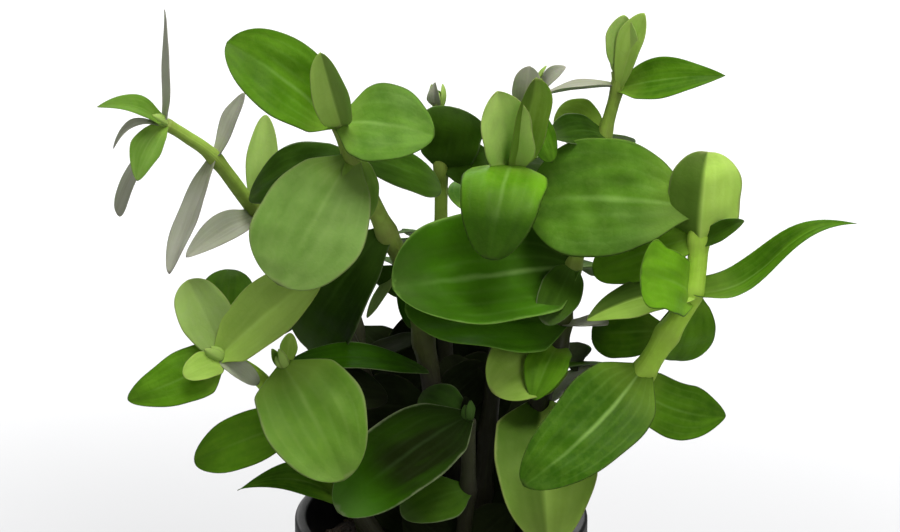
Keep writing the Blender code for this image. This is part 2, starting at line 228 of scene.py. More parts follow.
# deep to light is the range of the upper side and glow its flecks and foot, and veins is how
# much the side veins show
leafLooks = {
    "fresh": dict(
        deep=(0.022, 0.08, 0.001), light=(0.135, 0.33, 0.01), glow=(0.25, 0.42, 0.045),
        vein=(0.26, 0.44, 0.1), rim=(0.04, 0.07, 0.012), under=(0.15, 0.26, 0.05), veins=0.045, rough=0.46,
        gloss=0.12),
    # dusty: greyer green, partly dust and partly painted sheen
    "dusty": dict(
        deep=(0.085, 0.185, 0.016), light=(0.215, 0.35, 0.075), glow=(0.24, 0.38, 0.05),
        vein=(0.28, 0.4, 0.12), rim=(0.16, 0.2, 0.07), under=(0.17, 0.27, 0.09), veins=0.08, rough=0.52,
        gloss=0.12),
    # pale: the yellow-green of young leaves, made lighter as painted light for leaves that the lamps light
    # only from behind
    "pale": dict(
        deep=(0.17, 0.3, 0.028), light=(0.36, 0.54, 0.1), glow=(0.4, 0.58, 0.1), vein=(0.42, 0.56, 0.17),
        rim=(0.21, 0.25, 0.07), under=(0.3, 0.44, 0.1), veins=0.05, rough=0.48, gloss=0.13),
    # lime: a lit-up copy of the green, painted light for upright leaves that face away from the lamps
    "lime": dict(
        deep=(0.28, 0.48, 0.04), light=(0.52, 0.76, 0.15), glow=(0.55, 0.76, 0.14), vein=(0.56, 0.74, 0.22),
        rim=(0.25, 0.28, 0.1), under=(0.4, 0.56, 0.14), veins=0.05, rough=0.46, gloss=0.13),
    # deep: darker green, partly old leaves and partly painted shade for leaves deep in the plant or under
    # others
    "deep": dict(
        deep=(0.012, 0.034, 0.002), light=(0.048, 0.115, 0.007), glow=(0.07, 0.15, 0.02),
        vein=(0.08, 0.17, 0.03), rim=(0.12, 0.15, 0.075), under=(0.05, 0.1, 0.03), veins=0.05, rough=0.44,
        gloss=0.035),
    # dim: nearly black green, painted shade for leaves low in the plant under the others
    "dim": dict(
        deep=(0.005, 0.01, 0.001), light=(0.035, 0.13, 0.001), glow=(0.02, 0.04, 0.008),
        vein=(0.05, 0.09, 0.03), rim=(0.14, 0.17, 0.085), under=(0.03, 0.05, 0.02), veins=0.04, rough=0.5,
        gloss=0.02),
    # bowl: for cupped leaves; its dark glow paints shade in the hollow near the foot
    "bowl": dict(
        deep=(0.026, 0.075, 0.003), light=(0.08, 0.26, 0.006), glow=(0.03, 0.038, 0.012),
        vein=(0.2, 0.36, 0.08), rim=(0.15, 0.27, 0.05), under=(0.04, 0.09, 0.015), veins=0.04, rough=0.42,
        gloss=0.06),
    # shade: near-black leaves put deep inside the plant as painted shade, green below
    "shade": dict(
        deep=(0.004, 0.005, 0.003), light=(0.02, 0.028, 0.009), glow=(0.03, 0.05, 0.015),
        vein=(0.05, 0.06, 0.03), rim=(0.018, 0.014, 0.013), under=(0.05, 0.105, 0.02), veins=0.04,
        rough=0.58, gloss=0.03),
    "purple": dict(
        deep=(0.28, 0.285, 0.215), light=(0.48, 0.49, 0.39), glow=(0.32, 0.38, 0.16),
        vein=(0.52, 0.54, 0.42), rim=(0.2, 0.17, 0.16), under=(0.34, 0.33, 0.29), veins=0.2, rough=0.55,
        gloss=0.1),
}

leafSurface = {
    "streaks": 0.3, "drift": 0.14, "flecks": 0.08, "net": 0.05,  # how much each one shows
    "foot": 0.45, "rim": 0.7, "tip": 0.18,  # shares of the glow and rim colours
    "streakSize": (1.3, 0.8, 0.0),  # across the blade and along it
    "dusk": (0.21, 0.27, 0.17),  # what a darker part is multiplied by, as painted shade
    "bloom": (0.27, 0.34, 0.17),  # pale dust and painted sheen on the upper side
    "bump": (0.3, 0.0001),  # strength, and depth in metres
    "settings": {"Subsurface Weight": 0.12, "Subsurface Radius": (0.5, 1.0, 0.2),
                 "Subsurface Scale": 0.0009, "Specular Tint": (0.9, 1.0, 0.45, 1.0)},
}


def makeLeafMaterial(name, look):
    shown = leafSurface
    settings = {**shown["settings"], "Specular IOR Level": look["gloss"]}
    material, tree, skin = newMaterial(name + "Leaf", settings)
    spot = mark(tree, "bladePlace")
    across, along, upper = split(spot)
    tint, midrib, bloom = split(mark(tree, "bladeMood"))
    veins = useGroup(tree, veinGroup, {"Place": spot})
    margin = useGroup(tree, marginGroup, {"Place": spot})
    mottle = useGroup(tree, mottleGroup)
    drift = node(tree, "VectorMath", {0: objectSpot(tree), "Scale": 22.0}, operation="SCALE")
    moved = node(tree, "VectorMath", (spot, shown["streakSize"], drift), operation="MULTIPLY_ADD")
    streak = spread(noise(moved, 1.7, 2.0), 0.3, 0.7)
    broad = streak * shown["streaks"] + mottle["Broad"] * shown["drift"]
    # tint sets how light each blade is, which also stands in for painted light and shade
    face = blend(calc("ADD", broad, tint * 0.9 + -0.22, clamp=True), look["deep"], look["light"])
    face = blend(margin["Foot"] * shown["foot"], face, look["glow"])
    face = blend(mottle["Fine"] * shown["flecks"], face, look["glow"])
    sideVeins = veins["Veins"] * (midrib * 0.08 + look["veins"])
    lines = calc("MAXIMUM", sideVeins, veins["Midrib"] * midrib)
    face = blend(lines, face, look["vein"])
    face = blend(veins["Net"] * shown["net"], face, look["deep"])
    # painted shade and light: dusk above 0 darkens the tip and below 0 the foot, half above 0 the left side
    # and below 0 the right, and end above 0 darkens the outer half and below 0 brightens it
    dusk, half, end = split(mark(tree, "bladeTone"))
    endward = dusk * (along * 1.6 + -0.6)
    sideward = half * spread(across, -0.18, 0.18, 1.0, -1.0)
    outer = end * spread(along, 0.55, 1.0)
    darker = calc("ADD", endward + sideward, outer, clamp=True)
    face = blend(darker, face, blend(1.0, face, shown["dusk"], "MULTIPLY"))
    # painted light: end below 0 brightens the outer half
    face = blend(calc("MULTIPLY", outer, -1.0, clamp=True), face, look["light"])
    # painted sheen and dust: the upper side is turned towards a pale grey-green
    face = blend(bloom * (mottle["Fine"] * 0.25 + 0.75), face, shown["bloom"])
    under = blend(lines * 0.8, look["under"], look["vein"])
    both = blend(spread(upper, 0.3, 0.7), under, face)
    both = blend(margin["Tip"] * shown["tip"], both, look["rim"])
    both = blend(margin["Rim"] * shown["rim"], both, look["rim"])
    rough = mottle["Fine"] * 0.12 + look["rough"] - lines * 0.08
    sunk = calc("MAXIMUM", lines, veins["Net"])
    height = mottle["Skin"] * 0.25 + mottle["Fine"] * 0.5 - sunk * 0.25
    setSurface(skin, both, rough, height, shown["bump"])
    return material


# low to high is the colour from root to tip, and the pair after them is the height in metres over which
# near-black painted shade low on the stem gives way to its green
stemLooks = {
    "olive": dict(
        low=(0.14, 0.18, 0.03), high=(0.29, 0.44, 0.06), streak=(0.38, 0.54, 0.1),
        joint=(0.21, 0.26, 0.05), lowShade=(0.08, 0.1)),
    "bright": dict(
        low=(0.22, 0.36, 0.03), high=(0.41, 0.68, 0.06), streak=(0.5, 0.76, 0.1),
        joint=(0.3, 0.44, 0.06), lowShade=(0.052, 0.074)),
    "brown": dict(
        low=(0.14, 0.13, 0.035), high=(0.27, 0.4, 0.06), streak=(0.32, 0.4, 0.09),
        joint=(0.19, 0.22, 0.05), lowShade=(0.076, 0.102)),
}
stemSurface = {
    # the first two are the colour of the near-black painted shade low on the stems and how much of it shows
    "lowShade": (0.022, 0.016, 0.016), "lowShadeShare": 0.93, "rough": 0.45, "bump": (0.4, 0.00015),
    "settings": {"Subsurface Weight": 0.15, "Subsurface Radius": (0.6, 1.0, 0.25),
                 "Subsurface Scale": 0.001, "Specular IOR Level": 0.2},
}


def makeStemMaterial(name, look):
    material, tree, skin = newMaterial(name + "Stem", stemSurface["settings"])
    around, along, joint = split(mark(tree, "stemPlace"))
    mottle = useGroup(tree, mottleGroup)
    turn = around * math.tau
    ring = (calc("COSINE", turn) * 2.2, calc("SINE", turn) * 2.2, along * 3.0)
    streak = spread(noise(node(tree, "CombineXYZ", ring), 2.6, 4.0), 0.45, 0.7)
    body = blend(spread(along, 0.1, 0.85), look["low"], look["high"])
    body = blend(streak * 0.5, body, look["streak"])
    body = blend(mottle["Fine"] * 0.25, body, look["low"])
    body = blend(joint * (mottle["Broad"] * 0.4 + 0.3), body, look["joint"])
    # painted shade: each stem turns near black low down, towards the soil and the plant's dark middle
    level = mottle["Broad"] * 0.006 + split(objectSpot(tree))[2]
    lowShade = spread(level, *look["lowShade"], stemSurface["lowShadeShare"], 0.0)
    body = blend(lowShade, body, stemSurface["lowShade"])
    rough = mottle["Fine"] * 0.18 + stemSurface["rough"]
    setSurface(skin, body, rough, streak * 0.6 + mottle["Skin"] * 0.3, stemSurface["bump"])
    return material


potSurface = {
    "plastic": (0.005, 0.005, 0.006), "dust": (0.035, 0.03, 0.025), "scuffs": (0.02, 0.02, 0.022),
    "dusty": 0.12, "splash": 0.5, "splashTop": 0.016,  # dirt splashed up from the ground, in metres
    "rough": 0.42, "bump": (0.25, 0.0001),
}


def makePotMaterial():
    material, tree, shell = newMaterial("blackPotPlastic", {})
    grime = useGroup(tree, grimeGroup)
    splash = fade(split(objectSpot(tree))[2], 0.0, potSurface["splashTop"])
    dusty = grime["Dust"] * (splash * potSurface["splash"] + potSurface["dusty"])
    body = blend(dusty, potSurface["plastic"], potSurface["dust"])
    body = blend(grime["Scuffs"] * 0.3, body, potSurface["scuffs"])
    rough = grime["Scuffs"] * 0.12 + (grime["Dust"] * 0.2 + potSurface["rough"])
    setSurface(shell, body, rough, grime["Specks"] + grime["Scuffs"] * 0.5, potSurface["bump"])
    return material


soilSurface = {
    "wet": (0.01, 0.006, 0.004), "dry": (0.042, 0.027, 0.016), "crumb": (0.075, 0.045, 0.024),
    "grain": (0.12, 0.085, 0.05), "patches": 260.0, "rough": 0.6, "bump": (0.8, 0.0004),
}


def makeSoilMaterial():
    material, tree, peat = newMaterial("moistPeat", {})
    grime = useGroup(tree, grimeGroup, {"Patch Scale": soilSurface["patches"]})
    body = blend(grime["Dust"], soilSurface["wet"], soilSurface["dry"])
    body = blend(mark(tree, "crumbTint", "Fac") * 0.6, body, soilSurface["crumb"])
    body = blend(grime["Specks"] * 0.6, body, soilSurface["grain"])
    rough = grime["Dust"] * 0.35 + soilSurface["rough"]
    setSurface(peat, body, rough, grime["Dust"] + grime["Specks"], soilSurface["bump"])
    return material


leafMaterials = {name: makeLeafMaterial(name, look) for name, look in leafLooks.items()}
stemMaterials = {name: makeStemMaterial(name, look) for name, look in stemLooks.items()}
potMaterial = makePotMaterial()
soilMaterial = makeSoilMaterial()
print("materials made")


# Mesh helpers. Tables and shapes are in millimetres.

def newPiece(name, points, faces, materials, slotName, replaces=(), marks=None, faceMaterials=None):
    mesh = bpy.data.meshes.new(name)
    mesh.from_pydata((np.asarray(points) * mm).tolist(), [], faces)
    for label, values in (marks or {}).items():
        kind, field = ("FLOAT_VECTOR", "vector") if values.ndim == 2 else ("FLOAT", "value")
        layer = mesh.attributes.new(label, kind, "POINT")
        layer.data.foreach_set(field, values.astype(np.float32).ravel())
    for material in materials:
        mesh.materials.append(material)
    if faceMaterials is not None:
        mesh.polygons.foreach_set("material_index", faceMaterials)
    mesh.shade_smooth()
    mesh.update()
    piece = bpy.data.objects.new(name, mesh)
    bpy.context.scene.collection.objects.link(piece)
    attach(piece, "root")
    if replaces:
        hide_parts(*replaces)
    return piece


def tubeFaces(rings, sides):
    faces = []
    for low in range(0, (rings - 1) * sides, sides):
        for i in range(sides):
            j = (i + 1) % sides
            faces.append([low + i, low + j, low + sides + j, low + sides + i])
    return faces


def smoothPath(points, step):
    # a curve through all the points, with places about one step apart
    ends = [points[0], *points, points[-1]]
    path = [np.array(points[0], float)]
    for a, b, c, d in zip(ends, ends[1:], ends[2:], ends[3:]):
        a, b, c, d = (np.array(p, float) for p in (a, b, c, d))
        count = max(1, round(np.linalg.norm(c - b) / step))
        for i in range(1, count + 1):
            t = i / count
            bend = (c - a) * t + (2 * a - 5 * b + 4 * c - d) * t**2 + (3 * (b - c) + d - a) * t**3
            path.append(b + bend / 2)
    return np.array(path)


def unit(vector):
    return vector / np.linalg.norm(vector)


# Stems

stemShape = {
    "sides": 22,
    "step": 0.75,
    "swell": 0.22,  # share by which a joint is thicker
    "swellReach": 1.7,
    "flute": 0.035,  # depth of the four soft ridges, as a share of the radius
    "uneven": (0.03, 0.02),  # slow and quick changes in thickness
}

# root and top are the radii at the two ends
stems = {
    "far_left": dict(root=1.8, top=1, look="olive", path=(
        (-9, 8, 36), (-9.5, 9, 46), (-12, 12, 66), (-18.5, 14, 82), (-24.5, 12, 91.5), (-31, 8, 101.5),
        (-37.5, 4, 112.5), (-42, 2, 117), (-45.5, 0, 120))),
    "upper_left": dict(root=2.1, top=1.3, look="brown", path=(
        (-4, 2, 36), (-3.5, 2, 46), (-1.5, 3, 68), (-3, 2, 81), (-6, 0, 94.5), (-9, -1.5, 101.5),
        (-14.5, -4, 115), (-16.5, -5, 121.5))),
    "centre_back": dict(root=1.6, top=1.1, look="olive", path=(
        (3, 11, 36), (2.5, 12, 46), (1, 14, 65), (0.5, 16, 83), (0, 16, 94.5), (0, 16, 103),
        (0, 15.5, 107.5), (-0.5, 18, 117.5))),
    "centre": dict(root=1.8, top=1, look="olive", path=(
        (6, 0, 36), (6, 0, 46), (7, 1, 54), (8, 2, 64.5), (9.5, 7, 78), (11, 9, 93.5), (12, 4, 111.5),
        (14, 5.5, 121), (16.5, 5.5, 125))),
    "right_back": dict(root=1.9, top=1, look="olive", path=(
        (12, 3, 36), (12.5, 2, 46), (16.5, -1, 70), (19, 0, 76.5), (19.8, 1, 80), (20.5, 2, 84),
        (22, 3, 93.5), (26, 10, 105), (27.5, 12, 114), (29.5, 12, 122.5), (29.5, 12, 125.5))),
    "right": dict(root=2.1, top=1.7, look="bright", path=(
        (14, -4, 36), (14.5, -4, 46), (20.5, -5, 60.5), (28.5, -7, 71), (31.7, -7.7, 76), (33.5, -8, 79),
        (37.5, -7, 85.5), (41.5, -6, 92.5), (42.5, -5, 101.5), (42.3, -4.5, 107))),
    "lower_left": dict(root=1.7, top=1.2, look="bright", path=(
        (-12, -2, 36), (-12.5, -2, 46), (-15.5, -1, 55), (-23, -3, 66.5), (-30.5, -5, 77),
        (-36.5, -7, 81.5))),
    "front_left": dict(root=1.7, top=1.1, look="olive", path=(
        (-8, -9, 36), (-9, -9.5, 46), (-15, -10, 57), (-20, -10, 67), (-22, -9.7, 71.5), (-24, -9, 76),
        (-26, -9, 80.5))),
    # this stem's tip buds take the near-black shade look, painted shade
    "front": dict(root=1.6, top=1.1, look="olive", buds="shade", path=(
        (3, -7, 36), (3.5, -7, 46), (4.5, -8, 58), (4.5, -8, 71))),
    "back": dict(root=1.7, top=1.1, look="olive", path=(
        (2, 17, 36), (2, 18, 46), (3.5, 24, 57.5), (5, 30, 70), (6, 34, 82), (6.5, 36, 91.5))),
    "back_left": dict(root=1.7, top=1.1, look="olive", path=(
        (-7, 14, 36), (-7.5, 15, 46), (-12, 20, 60), (-15, 25, 74), (-17, 28, 88))),
}


def stemPoint(stem, index):
    points = np.array(stem["path"], float)
    along = unit(points[min(index + 1, len(points) - 1)] - points[index - 1])
    share = index / (len(points) - 1)
    return points[index], along, stem["root"] + (stem["top"] - stem["root"]) * share


def makeStem(name, stem, blades, rng):
    step, sides = stemShape["step"], stemShape["sides"]
    path = smoothPath(stem["path"], step)
    count = len(path)
    joints = np.zeros(count)
    for blade in blades:
        far = np.linalg.norm(path - np.array(stem["path"][blade["at"]], float), axis=1)
        joints = np.maximum(joints, np.exp(-((far / stemShape["swellReach"]) ** 2)))
    radii = np.linspace(stem["root"], stem["top"], count) * (1 + stemShape["swell"] * joints)
    drift = rng.uniform(0, math.tau, 3)
    length = np.arange(count) * step
    slow, quick = stemShape["uneven"]
    radii = radii * (1 + slow * np.sin(length / 5.0 + drift[0]) + quick * np.sin(length / 1.9 + drift[1]))
    end = np.clip((count - 1 - np.arange(count)) * step / stem["top"], 0, 1)
    radii = radii * np.sqrt(np.clip(1 - (1 - end) ** 2, 0.02, 1))  # the end is round
    side = np.array((1.0, 0.0, 0.0))
    turns = np.arange(sides) / sides
    angles = turns * math.tau
    points, marks = [], []
    for i, (centre, tangent, radius) in enumerate(zip(path, np.gradient(path, axis=0), radii)):
        along = unit(tangent)
        side = unit(side - along * (side @ along))
        other = np.cross(along, side)
        flute = 1 + stemShape["flute"] * np.cos(4 * angles + drift[2] + length[i] / 14)
        ring = np.outer(np.cos(angles), side) + np.outer(np.sin(angles), other)
        points.append(centre + ring * (radius * flute)[:, None])
        marks.append(np.stack([turns, np.full(sides, i / (count - 1)), np.full(sides, joints[i])], 1))
    caps = [list(range(sides))[::-1], list(range((count - 1) * sides, count * sides))]
    newPiece("stemBody_" + name, np.concatenate(points), caps + tubeFaces(count, sides),
             [stemMaterials[stem["look"]]], "stem", ("stem_" + name,),
             {"stemPlace": np.concatenate(marks)})


# Leaves

leafShape = {
    "thick": 0.7,  # at the middle of a large leaf
    "groove": 0.05,  # depth of the main veins in the upper side
    "rib": 0.3,  # how far the midrib stands out below, at the base
    "wrinkle": 0.15,
    "clasp": 0.17,  # share of the length in which the base closes round the stem
    "fine": (46, 39),  # rows and columns of a large leaf
    "small": (30, 23),
    "smallBelow": 7.0,  # the width under which a blade takes the small grid
}
leafDefaults = dict(
    arch=0.1, sway=0.0, ess=0.0,  # bends of the midrib up, sideways and as an S, by its length
    cup=0.1, fold=0.0, wave=0.05,  # rise of the sides: round, straight and wavy
    point=0.3, widest=0.5, foot=0.42,  # sharpness of the tip, widest place and width at the base
    tint=0.5, rib=0.18, bloom=0.0,  # light green, which also paints light and shade leaf by leaf, how much the midrib shows, and dust with painted sheen
    dusk=0.0, half=0.0, end=0.0,  # which part of the blade is darker, as painted shade
    shift=0.0,  # along the stem
    own=True,  # takes the place of a leaf of the CAD model
)


def leaf(at, tip, width, face, look="fresh", **changes):
    given = {"at": at, "tip": tip, "width": width, "face": face, "look": look}
    return {**leafDefaults, **given, **changes}


def shoot(*given, **changes):
    # a small or hidden leaf that the CAD model lacks
    return leaf(*given, own=False, **changes)


def outline(t, blade):
    # half width along the midrib, as a share of its widest
    rise = np.sin(np.pi / 2 * np.clip(t / blade["widest"], 0, 1)) ** 0.9
    low = blade["foot"] + (1 - blade["foot"]) * rise
    past = np.clip((t - blade["widest"]) / (1 - blade["widest"]), 0, 1)
    rounded = np.sqrt(np.clip(1 - past**2.4, 0, 1))
    sharp = 1 - past**1.5
    high = rounded * (1 - blade["point"]) + sharp * blade["point"]
    return np.where(t < blade["widest"], low, np.maximum(0.025, high))


def bladeGrid(blade):
    # places on the blade: t from base to tip and v from side to side, closer at the edges
    small = blade["width"] < leafShape["smallBelow"]
    rows, columns = leafShape["small" if small else "fine"]
    even = np.linspace(0, 1, rows)
    t = 0.35 * even + 0.65 * (0.5 - 0.5 * np.cos(np.pi * even))
    even = np.linspace(-1, 1, columns)
    v = 0.6 * even + 0.4 * np.sin(np.pi / 2 * even)
    return np.meshgrid(t, v, indexing="ij")


def bladeSurface(stem, blade, rng):
    centre, stemAlong, radius = stemPoint(stem, blade["at"])
    tip = np.array(blade["tip"], float)
    outward = tip - centre
    outward = unit(outward - stemAlong * (outward @ stemAlong))
    base = centre + outward * radius * 0.7 + stemAlong * blade["shift"]
    length = np.linalg.norm(tip - base)
    along = (tip - base) / length
    facing = np.array(blade["face"], float)
    up = unit(facing - along * (facing @ along))
    side = np.cross(along, up)
    t, v = bladeGrid(blade)
    phases = rng.uniform(0, math.tau, 8)
    hand = np.sign(v)
    uneven = 0.025 * np.sin(7 * t + phases[0] + 2 * hand) + 0.015 * np.sin(15 * t + phases[1] * hand)
    half = blade["width"] / 2 * outline(t, blade) * (1 + uneven * np.abs(v))
    x, y = v * half, length * t

    # the midrib's curve
    bow = length * 4 * t * (1 - t)
    lift = blade["arch"] * bow + blade["ess"] * length * np.sin(math.tau * t)
    middle = base + y[..., None] * along + lift[..., None] * up
    middle = middle + (blade["sway"] * bow)[..., None] * side

    # the height of the two sides over it
    size = np.clip(blade["width"] / 15, 0.3, 1.2)
    crown = blade["cup"] * v**2 + blade["fold"] * (np.sqrt(v**2 + 0.015) - 0.122)
    crown = crown + blade["wave"] * v**2 * np.sin(9 * t + phases[2] + hand * phases[3])
    waves = zip((0.9, -0.7, 0.4, 1.6), (0.5, 0.8, -1.1, 0.3), phases[4:])
    ripple = sum(np.sin(x * a + y * b + phase) for a, b, phase in waves)
    inside = np.clip(t / 0.15, 0, 1) * np.clip((1 - t) / 0.1, 0, 1) * (1 - v**4)
    height = crown * half + leafShape["wrinkle"] * size * ripple * inside * 0.5

    # grooves above, the rib below, and the thickness
    grooves = np.exp(-((v / 0.07) ** 2)) * (1 - 0.6 * t)
    for share in veinPlaces:
        line = np.exp(-(((np.abs(v) - share) / 0.05) ** 2))
        grooves = grooves + 0.55 * line * np.clip((1.05 - t) / 0.4, 0, 1)
    quilt = leafShape["groove"] * size * grooves * inside
    rib = leafShape["rib"] * size * (1 - t) * np.exp(-((x / (0.55 * size)) ** 2))
    thick = leafShape["thick"] * size**0.5 * (0.4 + 0.6 * (1 - v**2)) * (1 - 0.5 * t**3)
    thick = thick * np.sqrt(np.clip(1 - np.abs(v) ** 14, 0, 1))

    # the base closes round the stem
    wrap = np.clip(1 - t / leafShape["clasp"], 0, 1) ** 1.6
    turned = v * np.minimum(1.5, half / radius)
    hug = outward * (radius * (np.cos(turned) - 1))[..., None]
    hug = hug + side * (radius * 1.04 * np.sin(turned) - x)[..., None]
    shell = middle + side * x[..., None] + hug * wrap[..., None]
    top = shell + up * (height + thick / 2 - quilt)[..., None]
    bottom = shell + up * (height - thick / 2 - rib * inside)[..., None]
    return top, bottom, t, v


def bladeMesh(stem, blade, rng):
    # the upper and lower side share their outermost points
    top, bottom, t, v = bladeSurface(stem, blade, rng)
    rows, columns = t.shape
    upper = np.arange(rows * columns).reshape(rows, columns)
    lower = upper.copy()
    inner = (slice(1, -1), slice(1, -1))
    lower[inner] = rows * columns + np.arange((rows - 2) * (columns - 2)).reshape(rows - 2, columns - 2)
    top[0], top[-1] = (top[0] + bottom[0]) / 2, (top[-1] + bottom[-1]) / 2
    points = np.concatenate([top.reshape(-1, 3), bottom[inner].reshape(-1, 3)])
    above = np.stack([v, t, np.ones(t.shape)], -1).reshape(-1, 3)
    below = np.stack([v, t, np.zeros(t.shape)], -1)[inner].reshape(-1, 3)
    faces = []
    for index, turn in ((upper, 1), (lower, -1)):
        quads = np.stack([index[:-1, :-1], index[:-1, 1:], index[1:, 1:], index[1:, :-1]], -1)
        faces.append(quads.reshape(-1, 4)[:, ::turn])
    return points, np.concatenate(faces), np.concatenate([above, below])


def tipBuds(stem, rng):
    # two pairs of tiny unopened leaves that close each stem's tip
    last = len(stem["path"]) - 1
    end, along, radius = stemPoint(stem, last)
    side = unit(np.cross(along, (0.3, 0.2, 0.9) if abs(along[2]) < 0.9 else (1.0, 0.1, 0.0)))
    turn = rng.uniform(0, math.tau)
    buds = []
    for i in range(4):
        angle = turn + i * math.pi / 2
        out = math.cos(angle) * side + math.sin(angle) * np.cross(along, side)
        reach, lean = ((2.2, 0.5), (3.2, 0.9))[i % 2]
        tip = end + along * (radius * reach) + out * radius * lean
        buds.append(shoot(last, tip, radius * 1.7, along * 0.5 - out, stem.get("buds", "pale"), arch=-0.12,
                          cup=0.5, point=0.6, foot=0.75, tint=rng.uniform(0.1, 0.7), shift=radius * -0.3))
    return buds


def bladeMarks(marks, blades):
    # what the leaf materials read: place on the blade, general mood, and where painted shade makes it darker
    parts = {"bladePlace": marks}
    for label, keys in (("bladeMood", ("tint", "rib", "bloom")), ("bladeTone", ("dusk", "half", "end"))):
        parts[label] = [np.tile([blade[key] for key in keys], (len(part), 1))
                        for part, blade in zip(marks, blades)]
    return {label: np.concatenate(values) for label, values in parts.items()}


def makeBlades(name, stem, blades, rng, replaces=()):
    # one piece, with a material for each look that its blades have
    looks = sorted({blade["look"] for blade in blades})
    points, faces, marks, kinds = [], [], [], []
    start = 0
    for blade in blades:
        somePoints, someFaces, someMarks = bladeMesh(stem, blade, rng)
        points.append(somePoints)
        faces.append(someFaces + start)
        marks.append(someMarks)
        kinds.append(np.full(len(someFaces), looks.index(blade["look"])))
        start += len(somePoints)
    newPiece(name, np.concatenate(points), np.concatenate(faces).tolist(),
             [leafMaterials[look] for look in looks], "leaf", replaces,
             bladeMarks(marks, blades), np.concatenate(kinds))


def makeLeaves(name, stem, blades, rng):
    own = [blade for blade in blades if blade["own"]]
    for number, blade in enumerate(own, 1):
        makeBlades(f"leafBlade_{name}_{number}", stem, [blade], rng, (f"leaf_{name}_{number}",))
    shoots = [blade for blade in blades if not blade["own"]]
    makeBlades("shootLeaves_" + name, stem, shoots + tipBuds(stem, rng), rng)


# Each stem's leaves, by the number of the stem point that carries it, the place of its tip,
# its width, the way it faces, its look and what differs from leafDefaults.

ahead = (0, -0.9, 0.4)  # towards the photo's side
raised = (0, -0.8, 0.5)  # the same, and up
lifted = (0, -0.8, 0.6)  # a little more up
lying = (0, 0.34, 0.94)  # almost level
